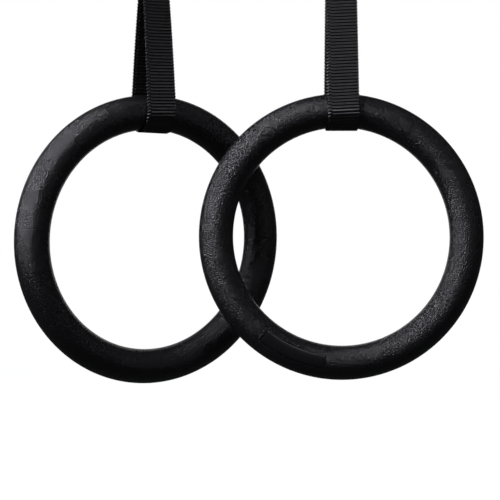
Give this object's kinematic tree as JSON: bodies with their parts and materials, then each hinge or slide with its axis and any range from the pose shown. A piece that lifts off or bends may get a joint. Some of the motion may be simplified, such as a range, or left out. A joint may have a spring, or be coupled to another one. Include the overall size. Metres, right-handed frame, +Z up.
{
  "type": "gymnastics rings",
  "caption": "Moulded grip rings hanging in webbing slings, with cam buckles to set the height and carabiners to hang them from a bar or ceiling.",
  "frame": {"origin": "inside top of the left carabiner, where it bears on what it hangs from", "axes": "+Z up; +X from the left ring towards the right ring, as seen from the front; +Y away from the viewer"},
  "size_m": [0.3777, 0.1306, 0.5548],
  "materials": {
    "shell": "satin, fine grain",
    "badge": "smooth satin",
    "webbing": "ribbed woven nylon",
    "thread": "sewing thread",
    "steel": "zinc plated",
    "spring": "spring wire"
  },
  "bodies": {
    "left_carabiner": {"left_carabiner_frame": "steel", "left_gate_pin": "steel"},
    "left_gate": {"left_carabiner_gate": "steel", "left_gate_spring": "spring"},
    "left_dring": {"left_d_ring": "steel"},
    "left_hanger": {"left_top_loop": "webbing", "left_loop_stitching": "thread", "left_buckle_frame": "steel", "left_cam_pin": "steel", "left_cam_spring": "spring"},
    "left_cam": {"left_cam_lever": "steel"},
    "left_strap_body": {"left_strap": "webbing", "left_front_leg": "webbing", "left_strap_stitching": "thread"},
    "left_sling_body": {"left_sling": "webbing"},
    "left_ring": {"left_ring_front_shell": "shell", "left_ring_back_shell": "shell", "left_ring_badge": "badge"},
    "right_carabiner": {"right_carabiner_frame": "steel", "right_gate_pin": "steel"},
    "right_gate": {"right_carabiner_gate": "steel", "right_gate_spring": "spring"},
    "right_dring": {"right_d_ring": "steel"},
    "right_hanger": {"right_top_loop": "webbing", "right_loop_stitching": "thread", "right_buckle_frame": "steel", "right_cam_pin": "steel", "right_cam_spring": "spring"},
    "right_cam": {"right_cam_lever": "steel"},
    "right_strap_body": {"right_strap": "webbing", "right_front_leg": "webbing", "right_strap_stitching": "thread"},
    "right_sling_body": {"right_sling": "webbing"},
    "right_ring": {"right_ring_front_shell": "shell", "right_ring_back_shell": "shell", "right_ring_badge": "badge"}
  },
  "joints": [
    {"name": "right_hanger_spacing", "type": "slide", "parent": "left_carabiner", "child": "right_carabiner", "axis": [0.9982, 0.0567, 0.0191], "range_m": [0, 0.34]},
    {"name": "left_gate_hinge", "type": "hinge", "parent": "left_carabiner", "child": "left_gate", "pos_m": [-0.00693, 0.00812, -0.05027], "axis": [0.788, 0.6156, -0.0091], "range_deg": [0, 25], "stiffness_Nm_per_rad": 0.05, "springref_deg": -28.65},
    {"name": "left_side_swing", "type": "hinge", "parent": "left_carabiner", "child": "left_dring", "pos_m": [-0.00021, -0.00074, -0.068], "axis": [-0.6156, 0.788, -0.0066], "range_deg": [-40, 0]},
    {"name": "left_fore_swing", "type": "hinge", "parent": "left_dring", "child": "left_hanger", "pos_m": [-0.00026, -0.0009, -0.08319], "axis": [0.788, 0.6156, -0.0091], "range_deg": [0, 45]},
    {"name": "left_cam_hinge", "type": "hinge", "parent": "left_hanger", "child": "left_cam", "pos_m": [0.00481, -0.00819, -0.13813], "axis": [0.788, 0.6156, -0.0091], "range_deg": [0, 22], "stiffness_Nm_per_rad": 0.1, "springref_deg": -28.65},
    {"name": "left_strap_slide", "type": "slide", "parent": "left_hanger", "child": "left_strap_body", "axis": [0.0031, 0.0108, 0.9999], "range_m": [-0.015, 0.015]},
    {"name": "left_strap_twist", "type": "hinge", "parent": "left_strap_body", "child": "left_sling_body", "pos_m": [-0.001, -0.0035, -0.32318], "axis": [0, 0, 1], "range_deg": [0, 90]},
    {"name": "left_ring_spin", "type": "hinge", "parent": "left_sling_body", "child": "left_ring", "pos_m": [-0.00356, 0.00099, -0.42655], "axis": [-0.4948, 0.8675, 0.0499], "continuous": true},
    {"name": "right_gate_hinge", "type": "hinge", "parent": "right_carabiner", "child": "right_gate", "pos_m": [0.15057, 0.01993, -0.04722], "axis": [0.9962, 0.0871, 0.0053], "range_deg": [0, 25], "stiffness_Nm_per_rad": 0.05, "springref_deg": -28.65},
    {"name": "right_side_swing", "type": "hinge", "parent": "right_carabiner", "child": "right_dring", "pos_m": [0.15162, 0.00911, -0.0651], "axis": [-0.0872, 0.9962, 0.007], "range_deg": [-40, 0]},
    {"name": "right_fore_swing", "type": "hinge", "parent": "right_dring", "child": "right_hanger", "pos_m": [0.15169, 0.00922, -0.0803], "axis": [0.9962, 0.0871, 0.0053], "range_deg": [-45, 0]},
    {"name": "right_cam_hinge", "type": "hinge", "parent": "right_hanger", "child": "right_cam", "pos_m": [0.15268, 0.00116, -0.13535], "axis": [0.9962, 0.0871, 0.0053], "range_deg": [0, 22], "stiffness_Nm_per_rad": 0.1, "springref_deg": -28.65},
    {"name": "right_strap_slide", "type": "slide", "parent": "right_hanger", "child": "right_strap_body", "axis": [-0.0046, -0.0074, 1], "range_m": [-0.015, 0.015]},
    {"name": "right_strap_twist", "type": "hinge", "parent": "right_strap_body", "child": "right_sling_body", "pos_m": [0.1528, 0.011, -0.32029], "axis": [0, 0, 1], "range_deg": [0, 90]},
    {"name": "right_ring_spin", "type": "hinge", "parent": "right_sling_body", "child": "right_ring", "pos_m": [0.15301, 0.0079, -0.42374], "axis": [-0.0662, 0.9974, -0.03], "continuous": true}
  ]
}
